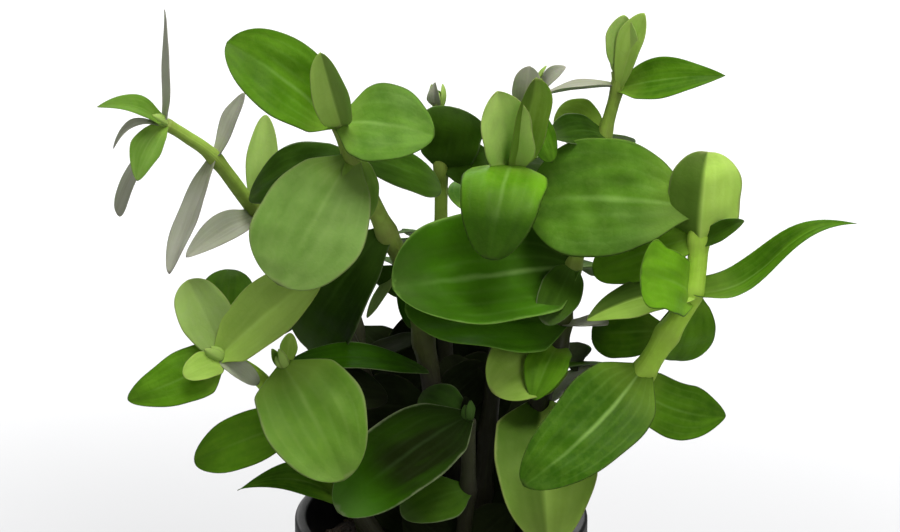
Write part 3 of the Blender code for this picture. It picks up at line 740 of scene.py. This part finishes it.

# The many near-black shoots in the shade look fill the plant's middle with painted shade.
leaves = {
    "far_left": (
        leaf(8, (-45, 1.5, 139), 4.6, (-1, -0.4, 0), "purple", arch=-0.02, cup=0.15, point=0.9, widest=0.3,
            tint=1.5),
        leaf(6, (-45, -4, 95), 6.4, (-0.85, -0.6, 0.2), "purple", arch=-0.02, cup=0.15, fold=0.3, point=0.4,
            tint=0.6),
        leaf(5, (-29.5, 14, 117), 5.4, (0, -0.9, 0.3), "pale", arch=0.04, cup=0.15, fold=0.4, point=0.4,
            tint=0.9, bloom=0.3),
        leaf(5, (-42, -6, 98.7), 5.4, (0.1, -0.7, 0.7), "purple", arch=0.09, cup=0.15, fold=0.4, point=0.5,
            tint=0.3, bloom=0.15),
        shoot(4, (-27, 31, 84.5), 11, lying, arch=0.06, cup=0.08, tint=0.2),
        shoot(5, (-25.5, 25, 95), 9, lying, arch=0.06, cup=0.08, tint=0.4),
        shoot(3, (-28, 28, 72), 10, (-0.3, 0.5, 0.8), "deep", tint=0.8),
        shoot(2, (-4, 16, 73), 9, raised, "shade", arch=0.08, cup=0.15),
        shoot(8, (-56, -4, 124), 5, (0, -0.5, 0.9), "dusty", arch=0.2, cup=-0.1, fold=0.5, point=0.8,
            widest=0.4, tint=0),
        shoot(8, (-53.7, -3, 116.5), 2, (-0.4, -0.5, 0.8), "purple", arch=0.36, cup=0.15, point=0.5),
        shoot(8, (-49.6, -7, 112.3), 5.2, (0.1, -0.9, 0.3), "dusty", arch=0.05, sway=0.1, cup=0.15, fold=0.4,
            point=0.6, tint=0.25),
        shoot(8, (-54, 3, 103), 4, (-0.8, -0.6, 0.2), "purple", arch=0.04, cup=0.15, point=-0.1, widest=0.8,
            foot=0.15, tint=0.6),
        shoot(6, (-32.5, 7, 123), 5.2, (-0.9, -0.5, 0.3), "purple", arch=-0.02, cup=0.15, fold=0.3,
            point=0.4),
    ),
    "upper_left": (
        leaf(7, (-34.5, -6, 135.6), 13.4, (0.1, -0.8, 0.6), cup=0.08, fold=0.25, point=0.1, tint=0.45,
            rib=0.3, dusk=0.25, half=0.15),
        leaf(7, (-1, -10, 121), 14.2, (0, -0.75, 0.65), cup=-0.1, fold=0.25, point=0.35, widest=0.42,
            foot=0.6, rib=0.35, bloom=0.12, dusk=-0.2, end=0.2),
        leaf(6, (-32, 6, 105.5), 11, (0, -0.6, 0.8), "deep", arch=0.08, point=0.2, tint=0.2),
        leaf(6, (-26.2, -20, 99), 18, ahead, "dusty", arch=0.08, fold=0.15, wave=0.08, point=-0.1,
            widest=0.56, foot=0.34, tint=0.15, bloom=0.15, dusk=-0.25, half=0.25),
        leaf(6, (0, 4, 107.3), 10, (0, -0.5, 0.8), "deep", arch=0.04, point=0.2),
        leaf(5, (-23, 8, 77.2), 15, (-0.5, -0.8, 0.1), "deep", cup=0.2, point=0.2, widest=0.6, tint=0.2,
            end=-0.6),
        shoot(4, (-5, 1, 83.5), 3, (0.2, -0.9, 0.1), "dim", arch=0.03, tint=0.6),
        shoot(4, (-3, 22, 86), 11, lying, "deep", arch=0.06, cup=0.08, tint=0.9),
        shoot(4, (-9.5, 2, 90), 7, ahead, "deep", point=0.1, tint=0.9),
        shoot(6, (-11.8, -9, 106.5), 5.8, (0.2, -0.8, 0.5), "dusty", cup=0.15, fold=0.2, point=0.6, foot=0.8,
            tint=0.3),
        shoot(2, (8, 8, 74), 8, ahead, "shade", arch=0.08, cup=0.15),
        shoot(1, (-14, 4, 56), 9, lifted, "shade", cup=0.15),
        shoot(2, (-15, 10, 66), 11, ahead, "shade"),
        shoot(3, (-14, 8, 75.5), 6, (0, -0.4, 0.9), "shade", arch=0, cup=0.15, tint=0.8),
        shoot(7, (-19.2, -13, 136), 6, (-0.1, -0.9, 0.3), "pale", arch=0.05, cup=0.15, fold=0.5, point=0.1,
            foot=0.6, tint=0.9, bloom=0.1, half=-0.6),
        shoot(4, (-12.5, 2, 85), 3, (-0.9, -0.4, 0), "pale", arch=0.03, point=0.5, tint=0.3, bloom=0.4),
    ),
    "centre_back": (
        leaf(6, (3, 13.5, 118.3), 10.5, lifted, "deep", arch=0.08, point=-0.5, widest=0.6, foot=0.7,
            tint=0.8),
        shoot(6, (8.6, 12.5, 109.3), 7.5, ahead, "deep", arch=0.06, point=0.2, tint=0.3),
        shoot(4, (-4, 34, 88), 9, lying, arch=0.04, cup=0.08, tint=0.3),
        shoot(3, (-2, 37, 75.5), 11, lying, "deep", arch=0.04, cup=0.08, tint=0.9),
        shoot(3, (-8, 22, 65), 9.5, ahead, "shade", arch=0.08, foot=0.25),
        shoot(3, (9, 22, 66), 12, ahead, "shade", arch=0.08),
        shoot(2, (-14, 20, 71), 13, ahead, "shade", arch=0.08),
        shoot(2, (12, 18, 68), 13, ahead, "shade", arch=0.08),
        shoot(1, (-10, 16, 58), 12, raised, "shade", tint=0.8),
        shoot(1, (13, 16, 56), 12, raised, "shade"),
        shoot(7, (-1, 17, 121.8), 2.6, (-0.5, -0.9, 0.3), "purple", cup=0.15, fold=0.5, point=0.7,
            widest=0.3, foot=0.7, tint=0.2),
        shoot(4, (-7.5, 12, 96.5), 4, (0, 0.2, 1), "deep", arch=0.08, point=0.5),
    ),
    "centre": (
        leaf(6, (9.2, -2.5, 126.3), 8.6, (0.1, -0.9, 0.35), "lime", arch=0.05, cup=0.15, fold=0.5,
            point=-0.2, foot=0.7, tint=1.2, bloom=0.3),
        leaf(6, (15.5, -2.5, 128.6), 6, (0.4, -0.9, 0.3), "pale", arch=0.03, cup=0.15, fold=0.5, point=-0.4,
            foot=0.7, tint=0.15, half=0.35, end=0.5),
        leaf(6, (8, -15, 101.5), 14, (0, -0.55, 0.8), arch=0.24, cup=-0.25, fold=0.2, point=0.1, widest=0.4,
            foot=0.75, tint=0.7, rib=0.3, dusk=1.6),
        leaf(6, (18, 28, 100), 13, (0, 0.4, 0.9), point=0.1),
        shoot(7, (18.3, 2, 112.5), 5, (0.1, -0.9, 0.3), arch=0.05, tint=0.3),
        shoot(5, (12, 30, 86), 11, lying, arch=0.05, cup=0.08, tint=0.2),
        shoot(3, (1, 10, 75), 9, ahead, "shade", arch=0.08, cup=0.15),
        shoot(2, (15, 10, 64), 10, ahead, "shade", arch=0.08, cup=0.15),
        shoot(7, (14.6, 4, 128.6), 4.4, (0, -0.9, 0.3), "purple", cup=0.15, fold=0.6, point=-0.4, tint=-0.2),
        shoot(8, (20.5, 2, 129), 3, (0, -0.7, 0.7), "purple", cup=0.2, point=0.5),
    ),
    "right_back": (
        leaf(9, (47, 6, 126.3), 7.4, lifted, arch=0.08, cup=0.05, fold=0.3, point=0.9, widest=0.4, tint=0.3),
        leaf(8, (19.5, 16, 117), 8, (0, -0.9, 0.3), "pale", arch=0.05, point=0.1, tint=0),
        leaf(6, (-8, -10, 94.8), 21, (0, -0.7, 0.72), "bowl", arch=0, cup=0.35, point=0, widest=0.45,
            foot=0.7, tint=0.45, rib=0.7, dusk=-0.5, end=1.3),
        leaf(5, (-6, -6, 89.3), 18, (0, -0.5, 0.86), "bowl", arch=0, cup=0.25, point=0, widest=0.45,
            foot=0.7, tint=1),
        leaf(4, (8.5, -8, 75.5), 12.5, (-0.1, -0.8, 0.5), "pale", arch=0.05, cup=0.2, point=0.2, foot=0.7,
            tint=0.45),
        leaf(2, (18, -22, 53.5), 17, lifted, "pale", arch=0.12, cup=0.15, fold=0.2, point=0.2, widest=0.45,
            foot=0.75, tint=0.65, dusk=-0.35, half=-0.95),
        shoot(8, (30, 30, 102.5), 9, lying, arch=0.05, cup=0.08),
        shoot(6, (17.2, -9, 88), 7.2, (0, -0.9, 0.35), "deep", point=0.1, foot=0.5, tint=0.55),
        shoot(3, (26, 18, 68), 10, (0.2, 0.5, 0.8), "deep", tint=0.8),
        shoot(6, (26, 20, 86), 10, (0.3, 0.6, 0.8), tint=0.2),
        shoot(10, (30.3, 10, 135.6), 5.4, (-0.1, -0.9, 0.35), "lime", arch=0.03, cup=0.15, fold=0.5,
            point=0.4, widest=0.65, foot=0.3, tint=0.4, bloom=0.4),
        shoot(9, (33.6, 9, 136.2), 4.8, (-0.4, -0.8, 0.3), "lime", arch=0.05, cup=0.15, fold=0.5, point=0.4,
            widest=0.7, foot=0.2, tint=0.3, bloom=0.2),
        shoot(9, (17.5, 14, 120.6), 4.4, (0, 0.02, 1), "purple", arch=0.03, cup=0.15, fold=0.3, point=0.4,
            tint=0.1),
        shoot(8, (18.3, 4, 116.3), 7.4, (0, -0.6, 0.8), "deep", cup=0.2, point=0.2, tint=0.2),
        shoot(4, (24.5, 10, 74.5), 5, (0, -0.9, 0.3), "shade", arch=0.05, cup=0.4, point=0, foot=0.6,
            tint=0.9, bloom=0.2),
        shoot(4, (15.5, -9, 74.5), 7.5, (0, -0.55, 0.85), arch=0.15, cup=-0.1, fold=0.4, point=0.5, foot=0.8,
            tint=0.6),
        shoot(4, (11, 8, 78), 8, ahead, "deep", arch=0.08, point=0.2),
        shoot(5, (27.6, -8, 87.6), 4.2, (0, -0.35, 0.94), "purple", arch=0, cup=0.15, fold=0.3),
        shoot(2, (28, 8, 74), 5, (0, 0, 1), "purple", arch=0.04, cup=0.15, fold=0.3, point=0.5, tint=1),
    ),
    "right": (
        leaf(9, (14.6, 4.5, 105.2), 20.4, (0, -0.85, 0.5), cup=0.05, fold=0.15, point=0.05, widest=0.52,
            foot=0.3, tint=0.46, rib=0.4, bloom=0.06, dusk=-0.45, half=0.35),
        leaf(8, (43.5, 3, 114), 13, (-0.35, -0.8, 0.35), "lime", arch=0.06, cup=0.15, fold=-0.6, point=0.1,
            foot=0.6, tint=0.3, half=0.9),
        leaf(7, (32.2, -17, 100.2), 10.2, (0.83, -0.49, 0.23), point=-0.9, widest=0.65, foot=0.9, tint=0.95),
        leaf(8, (25.3, 0.5, 93.8), 9.5, lifted, arch=0.05, point=0.2, tint=0.75),
        leaf(7, (69, 0, 102.5), 5.9, (-0.1, -0.55, 0.83), arch=0.03, ess=-0.1, cup=0.15, fold=0.5, wave=0.12,
            point=1, widest=0.28, foot=1, tint=0.3, dusk=-0.2),
        leaf(7, (24, -9, 88.7), 8, (0, -0.45, 0.9), "pale", arch=0.08, cup=-0.05, fold=0.2, point=0.8,
            foot=1, tint=0.2, rib=0.3, half=-1),
        leaf(6, (25.5, 6, 80.5), 9, ahead, arch=0.05, point=0.1, tint=0.35),
        leaf(7, (39.7, 4, 76.5), 10.5, (0.1, -0.9, 0.3), arch=0.05, point=0.1, widest=0.58, foot=0.3,
            tint=0.8),
        leaf(5, (13.5, -24, 65.5), 14.5, (0, -0.75, 0.65), arch=0.08, sway=-0.06, cup=0.05, fold=0.25,
            point=0.2, widest=0.4, foot=0.68, tint=-0.05, rib=0.6, dusk=-0.25, half=0.1),
        leaf(4, (48, -2, 68.7), 9.6, ahead, arch=0.02, sway=0.07, point=0.7, widest=0.55, foot=0.9,
            tint=0.3),
        shoot(8, (39.5, 14, 94.5), 9, lying, arch=0.05, cup=0.08, tint=0.4),
        shoot(7, (36, 12, 85), 10, lying, arch=0.05, cup=0.08, tint=0.2),
        shoot(3, (38, 8, 64), 9, (0.2, 0.5, 0.8), "deep", tint=0.8),
        shoot(8, (49.5, -10, 106.5), 3.4, (-0.2, -0.8, 0.5), "deep", arch=0.05, cup=0.15, fold=0.3,
            point=0.6, foot=0.7, tint=0.8),
        shoot(8, (43.6, -6, 117), 12, (-0.1, -0.85, 0.4), "lime", cup=0.15, fold=-0.7, point=0, foot=1,
            tint=0.75, half=1),
    ),
    "lower_left": (
        leaf(5, (-42, -4, 94), 9, (0.1, -0.9, 0.3), "pale", arch=0.03, cup=0.05, fold=0.35, point=0,
            foot=0.4, tint=0.6, bloom=0.4, half=-0.2),
        leaf(5, (-19.3, -10, 97.3), 11.2, (-0.1, -0.7, 0.7), "pale", arch=0.05, cup=0.05, fold=0.3,
            point=0.2, foot=0.6, tint=1, half=0.3),
        leaf(5, (-52, -10, 75), 9.2, lifted, sway=-0.05, cup=0.05, point=0.5, widest=0.3, foot=0.9, tint=0.6,
            dusk=0.35),
        leaf(5, (-35.5, 8, 91.5), 10, ahead, arch=0.05, point=0.1, tint=0.4),
        shoot(5, (-42.4, -13, 80.4), 5, lifted, "pale", arch=0.08, cup=0.15, point=0.2, foot=0.8, tint=0.7),
        shoot(5, (-30.2, -9.5, 77.6), 3.4, (0, -0.7, 0.7), "purple", arch=0.12, cup=0.15, point=0.1,
            foot=0.8, tint=0.7, bloom=0.3),
    ),
    "front_left": (
        leaf(6, (-15.7, -24, 66.5), 17.4, (0.05, -0.8, 0.6), "dusty", cup=0.08, fold=0.2, point=0.1,
            widest=0.45, foot=0.6, tint=0.1, dusk=-0.35, half=-0.2),
        leaf(4, (-41.5, -6, 62), 9.4, lifted, arch=0.08, cup=0.12, tint=0.7),
        leaf(6, (-2, 0, 76), 8, (0, -0.25, 0.97), "dim", arch=0.08, point=0.4, tint=0.7),
        leaf(2, (-33.8, -15, 60.8), 6.6, (0.2, -0.7, 0.7), arch=0, sway=0.16, cup=0.15, fold=0.5, point=1.2,
            widest=0.35, foot=0.7, tint=0.2, dusk=-0.5),
        shoot(5, (-9, -2, 72.5), 9, (0, -0.6, 0.8), "shade", arch=0.08),
        shoot(6, (-25, -5, 85), 3, (0, -0.8, 0.4), "pale", point=0.5),
    ),
    "front": (
        leaf(3, (-17, -22, 60), 14, (0, -0.7, 0.7), "dim", cup=0.2, point=0.1, foot=0.6, tint=0, dusk=-0.6,
            end=-0.9),
        leaf(2, (-6.5, -17, 57), 9, (0, -0.7, 0.7), "deep", point=0.2, tint=0.7),
        shoot(1, (12, -7, 54), 9, raised, "shade", cup=0.15, tint=0.9),
        shoot(1, (-6, -3, 52), 9, raised, "shade", cup=0.15),
        shoot(3, (-3.5, -3, 73), 7, lifted, "dim", cup=0.2, bloom=0.08),
    ),
    "back": (
        leaf(4, (4, 58, 72), 14, (0, 0.5, 0.85), arch=0.06, point=0.1),
        leaf(5, (14, 54, 88), 11, (0.1, 0.4, 0.9), arch=0.06, point=0.2),
        leaf(5, (5, 48, 94.5), 9, (0, -0.5, 0.8), arch=0.05, point=0.2, tint=0.1),
        shoot(4, (18, 44, 84), 11, (0.3, 0.6, 0.8), tint=0.4),
        shoot(3, (12, 50, 76), 10, (0.2, 0.6, 0.8), tint=0.3),
        shoot(1, (6, 20, 63), 10, ahead, "shade", arch=0.08),
        shoot(2, (-10, 28, 62), 13, raised, "shade"),
        shoot(2, (16, 28, 60), 13, raised, "shade"),
        shoot(1, (-8, 22, 53), 11, raised, "shade"),
        shoot(1, (12, 22, 52), 11, raised, "shade"),
        shoot(3, (17, 40, 62), 12, (0.1, 0.5, 0.8), "deep"),
        shoot(3, (-7, 44, 66), 12, (-0.1, 0.5, 0.8), "deep"),
        shoot(2, (6, 40, 49), 11, (0.1, 0.5, 0.8), "deep"),
    ),
    "back_left": (
        leaf(4, (-28, 41, 96.5), 10, (0, 0.3, 0.95), arch=0.05, point=0.2),
        leaf(4, (-3, 44, 82), 13, (0, 0.4, 0.9), arch=0.06, point=0.1),
        leaf(3, (-30, 40, 72), 12, (-0.2, 0.3, 0.95), arch=0.06, point=0.1),
        shoot(3, (-30, 36, 82), 11, (-0.2, 0.6, 0.8), tint=0.4),
        shoot(4, (-16, 38, 97), 8, (-0.1, 0.5, 0.9), "pale", arch=0.05, tint=0.3),
        shoot(3, (-4, 26, 63), 9, raised, "shade", arch=0.08, cup=0.15),
        shoot(2, (-2, 26, 67), 10, raised, "shade"),
        shoot(1, (-16, 16, 57), 11, raised, "shade"),
        shoot(2, (-26, 30, 58), 12, (-0.2, 0.4, 0.9), "deep"),
        shoot(1, (-14, 34, 50), 11, (-0.1, 0.4, 0.9), "deep"),
    ),
}

for number, (name, stem) in enumerate(stems.items()):
    rng = np.random.default_rng(40 + number)
    makeStem(name, stem, leaves[name], rng)
    makeLeaves(name, stem, leaves[name], rng)
print("plant made:", len(stems), "stems")


# Pot and soil

pot = {
    "height": 50.0, "rim": 25.0, "base": 18.0, "wall": 1.2, "floor": 1.6, "foot": 0.5,
    "lip": 5.0, "lipDepth": 0.8, "rounds": (0.5, 0.6, 0.4, 1.5),  # edges, rim, its inside, floor
    "sides": 144, "drainRadius": 2.0, "drainRing": 11.0, "drains": 4, "sharpOver": 50,
}
centreHole = 0.01  # radius of a lathed shape's innermost ring


def potWall(height):
    return pot["base"] + (pot["rim"] - pot["lipDepth"] - pot["base"]) * height / pot["height"]


def corner(radius, height, start, finish, size, steps=5):
    # a round edge whose centre is (radius, height), from one angle to another, in degrees
    angles = np.radians(np.linspace(start, finish, steps))
    return [(radius + size * math.cos(a), height + size * math.sin(a)) for a in angles]


def lathe(profile, sides):
    angles = np.arange(sides) / sides * math.tau
    points = [(r * math.cos(a), r * math.sin(a), z) for r, z in profile for a in angles]
    return points, tubeFaces(len(profile), sides)


def makePot():
    top, wall, floor, foot, base = (pot[key] for key in ("height", "wall", "floor", "foot", "base"))
    r, rimRound, innerRound, floorRound = pot["rounds"]
    lipLow = top - pot["lip"]
    inner = potWall(top) - wall
    innerFoot = potWall(floor) - wall
    footIn = base - 2.0
    # from the middle of the underside, out and up the outside, over the rim and down the inside
    profile = [(centreHole, foot), (footIn - r, foot), *corner(footIn + r, r, 180, 270, r)]
    profile += corner(base - r, r, 270, 360, r)
    profile += [(potWall(lipLow) - 0.02, lipLow - 0.6), (potWall(lipLow) + 0.1, lipLow - 0.1)]
    profile += corner(pot["rim"] - r, lipLow + r, 290, 360, r)
    profile += corner(pot["rim"] - rimRound, top - rimRound, 0, 90, rimRound, 7)
    profile += corner(inner + innerRound, top - innerRound, 90, 180, innerRound)
    profile += [(potWall(lipLow) - wall, lipLow), (innerFoot + 0.1, floor + floorRound)]
    profile += corner(innerFoot - 1.4, floor + floorRound, 0, -90, floorRound)[1:]
    profile += [(centreHole, floor)]
    shell = newPiece("potShell", *lathe(profile, pot["sides"]), [potMaterial], "pot", ("pot",))
    for i in range(pot["drains"]):
        angle = math.pi / pot["drains"] + math.tau * i / pot["drains"]
        spot = (pot["drainRing"] * math.cos(angle) * mm, pot["drainRing"] * math.sin(angle) * mm, mm)
        bpy.ops.mesh.primitive_cylinder_add(
            vertices=48, radius=pot["drainRadius"] * mm, depth=8 * mm, location=spot)
        drill = bpy.context.object
        cut = shell.modifiers.new("drain", "BOOLEAN")
        cut.operation = "DIFFERENCE"
        cut.object = drill
        bpy.context.view_layer.objects.active = shell
        bpy.ops.object.modifier_apply(modifier=cut.name)
        bpy.data.objects.remove(drill, do_unlink=True)
    shell.data.shade_smooth()
    shell.data.set_sharp_from_angle(angle=math.radians(pot["sharpOver"]))


soil = {"edge": 43.0, "crown": 1.4, "gap": 0.2, "rough": 0.55, "rings": 46, "sides": 120}
soilReach = potWall(soil["edge"]) - pot["wall"] - soil["gap"]


def soilHeight(x, y):
    share = min(1.0, math.hypot(x, y) / soilReach)
    bumps = math.sin(x * 0.9 + 1.3) * math.cos(y * 0.8)
    bumps += 0.6 * math.sin(x * 2.1 - y * 1.7) + 0.4 * math.sin(x * 4.3 + y * 3.9)
    return soil["edge"] + soil["crown"] * (1 - share**2) + soil["rough"] * bumps * 0.5 - 0.5


def makeSoil():
    low = pot["floor"] + 0.1
    profile = [(centreHole, low), (potWall(low) - pot["wall"] - 2.0, low)]
    profile += [(soilReach * k, 0) for k in np.linspace(1, 0.001, soil["rings"])]
    points, faces = lathe(profile, soil["sides"])
    points = [(x, y, z or soilHeight(x, y)) for x, y, z in points]
    newPiece("soilBed", points, faces, [soilMaterial], "soil", ("soil",),
             {"crumbTint": np.zeros(len(points))})


crumbs = {
    "count": 620, "reach": 21.0, "size": (0.25, 0.95), "sunk": 0.15,
    "stretch": ((0.7, 1.8), (0.6, 1.1), (0.35, 0.8)), "lumps": 0.28, "lumpWaves": (3.1, 4.7, 2.9),
}


def makeCrumbs():
    # crumbs and bark flakes lying on the soil
    rng = random.Random(7)
    bpy.ops.mesh.primitive_ico_sphere_add(subdivisions=2, radius=1)
    ball = bpy.context.object
    shape = np.array([v.co for v in ball.data.vertices])
    shapeFaces = np.array([p.vertices for p in ball.data.polygons])
    bpy.data.objects.remove(ball, do_unlink=True)
    points, faces, tints = [], [], []
    for number in range(crumbs["count"]):
        distance = crumbs["reach"] * math.sqrt(rng.random())
        angle = rng.uniform(0, math.tau)
        x, y = distance * math.cos(angle), distance * math.sin(angle)
        size = rng.uniform(*crumbs["size"])
        stretch = np.array([rng.uniform(*limits) for limits in crumbs["stretch"]])
        waves = np.sin(shape @ np.array(crumbs["lumpWaves"]) + rng.uniform(0, 6))
        lumps = 1 + crumbs["lumps"] * waves * rng.random()
        spin = rng.uniform(0, math.tau)
        turn = np.array((
            (math.cos(spin), -math.sin(spin), 0), (math.sin(spin), math.cos(spin), 0), (0, 0, 1)))
        body = (shape * lumps[:, None] * stretch * size) @ turn.T
        points.append(body + np.array((x, y, soilHeight(x, y) + size * crumbs["sunk"])))
        faces.append(shapeFaces + number * len(shape))
        tints.append(np.full(len(shape), rng.random() ** 2))
    newPiece("soilCrumbs", np.concatenate(points), np.concatenate(faces).tolist(), [soilMaterial],
             "soil", (), {"crumbTint": np.concatenate(tints)})


makePot()
makeSoil()
makeCrumbs()
print("pot and soil made")


# Floor, light and camera

paper = {
    "light": (0.93, 0.93, 0.935), "grain": (0.85, 0.85, 0.86),
    "shadow": (0.6, 0.6, 0.605), "shadowReach": (0.09, 0.30),  # soft grey round the pot, in metres
    "lifts": (0.3, 0.3, 0.3),  # what lights the plant from below
    "glow": 0.9, "glowReach": (0.2, 1.4),
}


def makeFloor():
    bpy.ops.mesh.primitive_circle_add(vertices=96, radius=4.0, fill_type="NGON", location=(0, 0, 0))
    floor = bpy.context.object
    floor.name = "paleFloor"
    settings = {"Emission Color": (1.0, 1.0, 1.0, 1.0), "Roughness": 0.9, "Specular IOR Level": 0.1}
    material, tree, sheet = newMaterial("palePaper", settings)
    coords = objectSpot(tree)
    seen = blend(noise(coords, 900.0, 2.0) * 0.1, paper["light"], paper["grain"])
    away = node(tree, "VectorMath", (coords,), "Value", operation="LENGTH")
    seen = blend(spread(away, *paper["shadowReach"]), paper["shadow"], seen)
    # the floor throws less light up at the plant than it shows to the camera
    direct = node(tree, "LightPath", out="Is Camera Ray")
    put(sheet.inputs["Base Color"], blend(direct, paper["lifts"], seen))
    glow = spread(away, *paper["glowReach"], 0.0, paper["glow"])
    put(sheet.inputs["Emission Strength"], direct * glow)
    floor.data.materials.append(material)


lights = {
    "overhead": dict(place=(0.15, -0.12, 0.95), size=0.6, power=11.2),
    "frontRight": dict(place=(0.5, -0.8, 0.5), size=0.5, power=2.7),
    "frontLeft": dict(place=(-0.8, -0.6, 0.4), size=0.7, power=1.2),
    "behind": dict(place=(-0.2, 0.9, 0.6), size=0.8, power=4.5),
}
room = {"colour": (0.97, 0.98, 1.0, 1.0), "strength": 0.15, "lightsAim": (0, 0, 0.08)}


def place(data, location, away):
    # a lamp or camera that looks the opposite way of "away"
    thing = bpy.data.objects.new(data.name, data)
    thing.location = location
    thing.rotation_euler = (-away).to_track_quat("-Z", "Y").to_euler()
    bpy.context.scene.collection.objects.link(thing)
    return thing


def makeLights():
    for name, lamp in lights.items():
        data = bpy.data.lights.new(name, "AREA")
        data.shape = "SQUARE"
        data.size = lamp["size"]
        data.energy = lamp["power"]
        place(data, lamp["place"], Vector(lamp["place"]) - Vector(room["lightsAim"]))
    world = bpy.data.worlds.new("softRoom")
    world.use_nodes = True
    background = world.node_tree.nodes["Background"]
    background.inputs["Color"].default_value = room["colour"]
    background.inputs["Strength"].default_value = room["strength"]
    bpy.context.scene.world = world
    bpy.context.scene.view_settings.view_transform = "Standard"


view = {"target": (0.0015, 0.0, 0.095), "distance": 0.6, "elevation": 20.0, "lens": 144.0, "sensor": 36.0}


def makeCamera():
    data = bpy.data.cameras.new("photoCamera")
    data.lens = view["lens"]
    data.sensor_width = view["sensor"]
    rise = math.radians(view["elevation"])
    away = Vector((0, -math.cos(rise), math.sin(rise)))
    bpy.context.scene.camera = place(data, Vector(view["target"]) + away * view["distance"], away)


makeFloor()
makeLights()
makeCamera()
print("floor, light and camera made")
